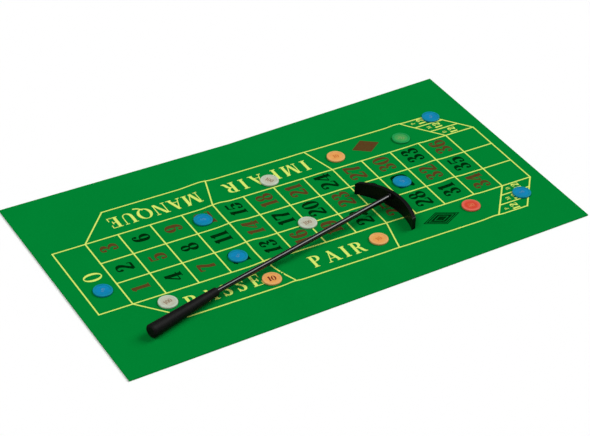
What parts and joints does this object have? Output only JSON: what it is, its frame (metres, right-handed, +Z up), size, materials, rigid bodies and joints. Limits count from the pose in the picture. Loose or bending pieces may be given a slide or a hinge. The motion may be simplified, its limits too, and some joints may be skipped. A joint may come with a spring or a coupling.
{
  "type": "roulette set",
  "caption": "Tabletop roulette set laid out for play: printed single-zero betting cloth with loose betting chips and a croupier's rake lying on it.",
  "frame": {"origin": "middle of the cloth's underside, on the surface that it lies on", "axes": "+X along the cloth's long side, away from the zero box; +Y across the cloth, away from the side whose words read upright; +Z up"},
  "size_m": [0.594, 0.349, 0.0208],
  "materials": {
    "green_felt": "short-napped felt, matte",
    "yellow_ink": "screen-printed ink soaked into the felt, matte",
    "red_ink": "screen-printed ink soaked into the felt, matte",
    "black_ink": "screen-printed ink soaked into the felt, matte",
    "black_blade": "moulded, semi-gloss",
    "black_stick": "polished, glossy",
    "grip_rubber": "matte soft rubber",
    "chip_blue": "moulded, satin",
    "chip_green": "moulded, satin",
    "chip_orange": "moulded, satin",
    "chip_red": "moulded, satin",
    "chip_white": "moulded, satin"
  },
  "bodies": {
    "playing_cloth": {"cloth": "green_felt", "yellow_print": "yellow_ink", "red_print": "red_ink", "black_print": "black_ink"},
    "rake": {"rake_head": "black_blade", "rake_stick": "black_stick", "rake_grip": "grip_rubber"},
    "chip_blue_1": {"chip_blue_1": "chip_blue"},
    "chip_blue_2": {"chip_blue_2": "chip_blue"},
    "chip_blue_3": {"chip_blue_3": "chip_blue"},
    "chip_blue_4": {"chip_blue_4": "chip_blue"},
    "chip_blue_5": {"chip_blue_5": "chip_blue"},
    "chip_blue_6": {"chip_blue_6": "chip_blue"},
    "chip_green": {"chip_green": "chip_green"},
    "chip_orange_1": {"chip_orange_1": "chip_orange"},
    "chip_orange_2": {"chip_orange_2": "chip_orange"},
    "chip_orange_3": {"chip_orange_3": "chip_orange"},
    "chip_red": {"chip_red": "chip_red"},
    "chip_white_1": {"chip_white_1": "chip_white"},
    "chip_white_2": {"chip_white_2": "chip_white"},
    "chip_white_3": {"chip_white_3": "chip_white"}
  },
  "joints": [
    {"name": "rake_lift", "type": "slide", "parent": "playing_cloth", "child": "rake", "axis": [0, 0, 1], "range_m": [0, 0.08]},
    {"name": "chip_blue_1_lift", "type": "slide", "parent": "playing_cloth", "child": "chip_blue_1", "axis": [0, 0, 1], "range_m": [0, 0.05]},
    {"name": "chip_blue_2_lift", "type": "slide", "parent": "playing_cloth", "child": "chip_blue_2", "axis": [0, 0, 1], "range_m": [0, 0.05]},
    {"name": "chip_blue_3_lift", "type": "slide", "parent": "playing_cloth", "child": "chip_blue_3", "axis": [0, 0, 1], "range_m": [0, 0.05]},
    {"name": "chip_blue_4_lift", "type": "slide", "parent": "playing_cloth", "child": "chip_blue_4", "axis": [0, 0, 1], "range_m": [0, 0.05]},
    {"name": "chip_blue_5_lift", "type": "slide", "parent": "playing_cloth", "child": "chip_blue_5", "axis": [0, 0, 1], "range_m": [0, 0.05]},
    {"name": "chip_blue_6_lift", "type": "slide", "parent": "playing_cloth", "child": "chip_blue_6", "axis": [0, 0, 1], "range_m": [0, 0.05]},
    {"name": "chip_green_lift", "type": "slide", "parent": "playing_cloth", "child": "chip_green", "axis": [0, 0, 1], "range_m": [0, 0.05]},
    {"name": "chip_orange_1_lift", "type": "slide", "parent": "playing_cloth", "child": "chip_orange_1", "axis": [0, 0, 1], "range_m": [0, 0.05]},
    {"name": "chip_orange_2_lift", "type": "slide", "parent": "playing_cloth", "child": "chip_orange_2", "axis": [0, 0, 1], "range_m": [0, 0.05]},
    {"name": "chip_orange_3_lift", "type": "slide", "parent": "playing_cloth", "child": "chip_orange_3", "axis": [0, 0, 1], "range_m": [0, 0.05]},
    {"name": "chip_red_lift", "type": "slide", "parent": "playing_cloth", "child": "chip_red", "axis": [0, 0, 1], "range_m": [0, 0.05]},
    {"name": "chip_white_1_lift", "type": "slide", "parent": "playing_cloth", "child": "chip_white_1", "axis": [0, 0, 1], "range_m": [0, 0.05]},
    {"name": "chip_white_2_lift", "type": "slide", "parent": "playing_cloth", "child": "chip_white_2", "axis": [0, 0, 1], "range_m": [0, 0.05]},
    {"name": "chip_white_3_lift", "type": "slide", "parent": "playing_cloth", "child": "chip_white_3", "axis": [0, 0, 1], "range_m": [0, 0.05]}
  ]
}
